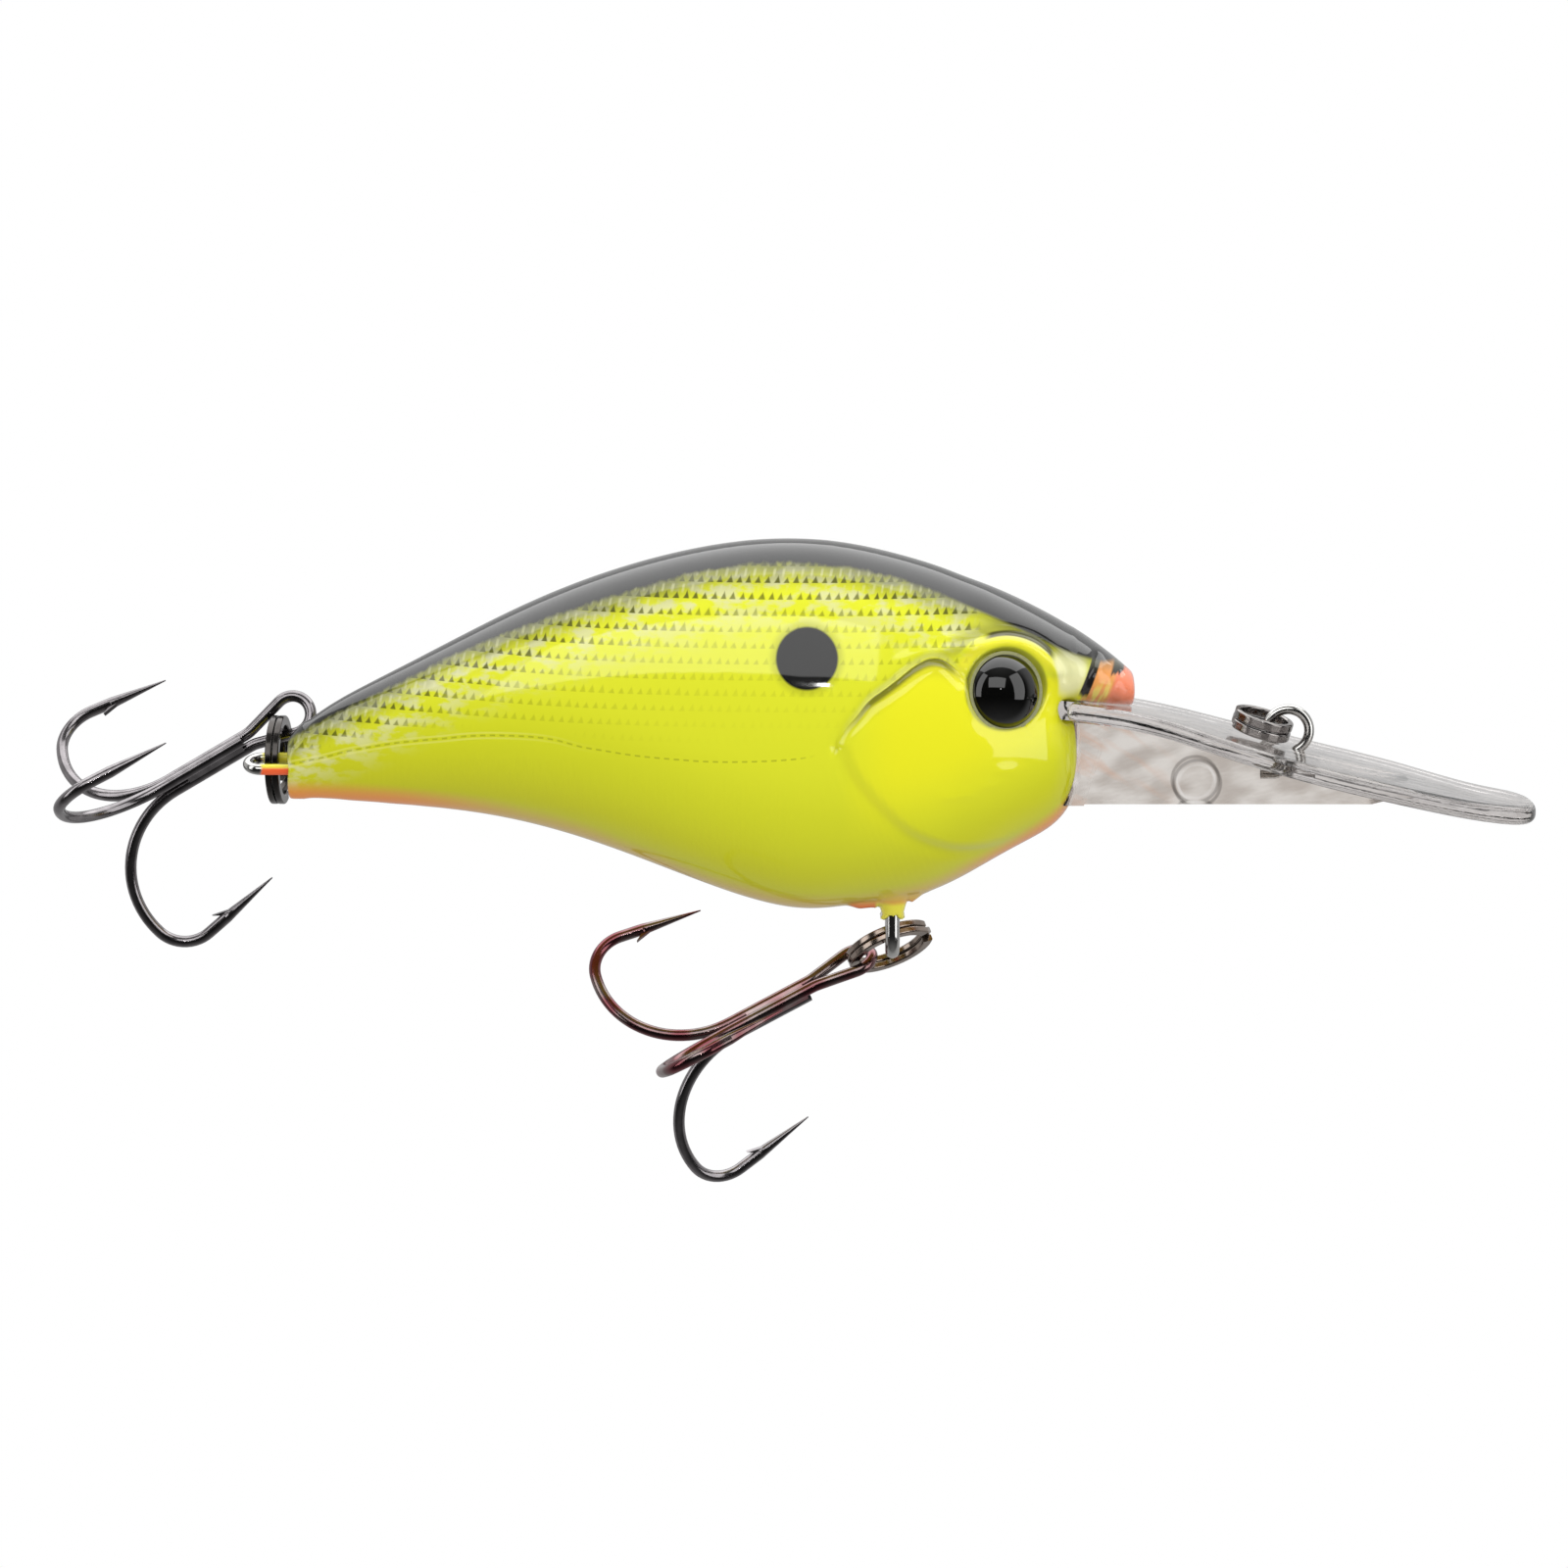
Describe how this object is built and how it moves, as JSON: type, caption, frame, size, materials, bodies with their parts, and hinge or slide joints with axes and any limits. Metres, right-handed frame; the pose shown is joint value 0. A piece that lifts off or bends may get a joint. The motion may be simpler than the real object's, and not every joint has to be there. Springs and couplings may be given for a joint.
{
  "type": "fishing lure",
  "caption": "Deep-diving crankbait lure: two-shell fish-shaped body with a long clear diving lip, a line tie, and treble hooks hung on split rings under the belly and at the tail.",
  "frame": {"origin": "centre of the line-tie loop on top of the diving lip, where the line pulls", "axes": "+X towards the tip of the lip (the way the lure swims), +Z towards its back, +Y towards its left flank"},
  "size_m": [0.1355, 0.0299, 0.06],
  "materials": {
    "body_paint": "chartreuse paint with a black back under clear gloss lacquer",
    "clear_lip": "clear moulded polycarbonate",
    "nickel_wire": "bright nickel",
    "dark_nickel": "smoked nickel",
    "black_nickel": "black nickel",
    "braze": "plated over in black nickel",
    "eye_ring": "pale olive print",
    "eye_gloss": "black, high gloss",
    "ballast": "plain",
    "rattle_steel": "polished"
  },
  "bodies": {
    "lure_body": {"right_body_shell": "body_paint", "left_body_shell": "body_paint", "diving_lip": "clear_lip", "line_tie_wire": "nickel_wire", "belly_hook_hanger": "nickel_wire", "tail_hook_hanger": "nickel_wire", "right_eye_disc": "eye_ring", "right_eye_dome": "eye_gloss", "left_eye_disc": "eye_ring", "left_eye_dome": "eye_gloss", "ballast_weight": "ballast"},
    "line_tie_ring": {"line_tie_split_ring": "nickel_wire"},
    "belly_ring": {"belly_split_ring": "dark_nickel"},
    "belly_treble": {"belly_treble_double_hook": "black_nickel", "belly_treble_single_hook": "black_nickel", "belly_treble_braze": "braze"},
    "tail_ring": {"tail_split_ring": "dark_nickel"},
    "tail_treble": {"tail_treble_double_hook": "black_nickel", "tail_treble_single_hook": "black_nickel", "tail_treble_braze": "braze"},
    "front_rattle": {"front_rattle_ball": "rattle_steel"},
    "rear_rattle": {"rear_rattle_ball": "rattle_steel"}
  },
  "joints": [
    {"name": "line_ring_swing", "type": "hinge", "parent": "lure_body", "child": "line_tie_ring", "pos_m": [0, 0, 0], "axis": [0, 1, 0], "range_deg": [0, 180]},
    {"name": "belly_ring_tilt", "type": "hinge", "parent": "lure_body", "child": "belly_ring", "pos_m": [-0.0358, 0, -0.0185], "axis": [0, 1, 0], "range_deg": [-3, 25]},
    {"name": "belly_treble_swing", "type": "hinge", "parent": "belly_ring", "child": "belly_treble", "pos_m": [-0.03931, 0.0032, -0.02166], "axis": [0, 0.8746, -0.4848], "range_deg": [-90, 8]},
    {"name": "tail_ring_tilt", "type": "hinge", "parent": "lure_body", "child": "tail_ring", "pos_m": [-0.09208, 0, -0.0031], "axis": [0, 1, 0], "range_deg": [-8, 8]},
    {"name": "tail_treble_swing", "type": "hinge", "parent": "tail_ring", "child": "tail_treble", "pos_m": [-0.0917, 0.0036, 0.0005], "axis": [0, 1, 0], "range_deg": [-40, 50]},
    {"name": "front_rattle_slide", "type": "slide", "parent": "lure_body", "child": "front_rattle", "axis": [0, 1, 0], "range_m": [-0.0039, 0.0039]},
    {"name": "rear_rattle_slide", "type": "slide", "parent": "lure_body", "child": "rear_rattle", "axis": [1, 0, 0], "range_m": [-0.0004, 0.0074]}
  ]
}
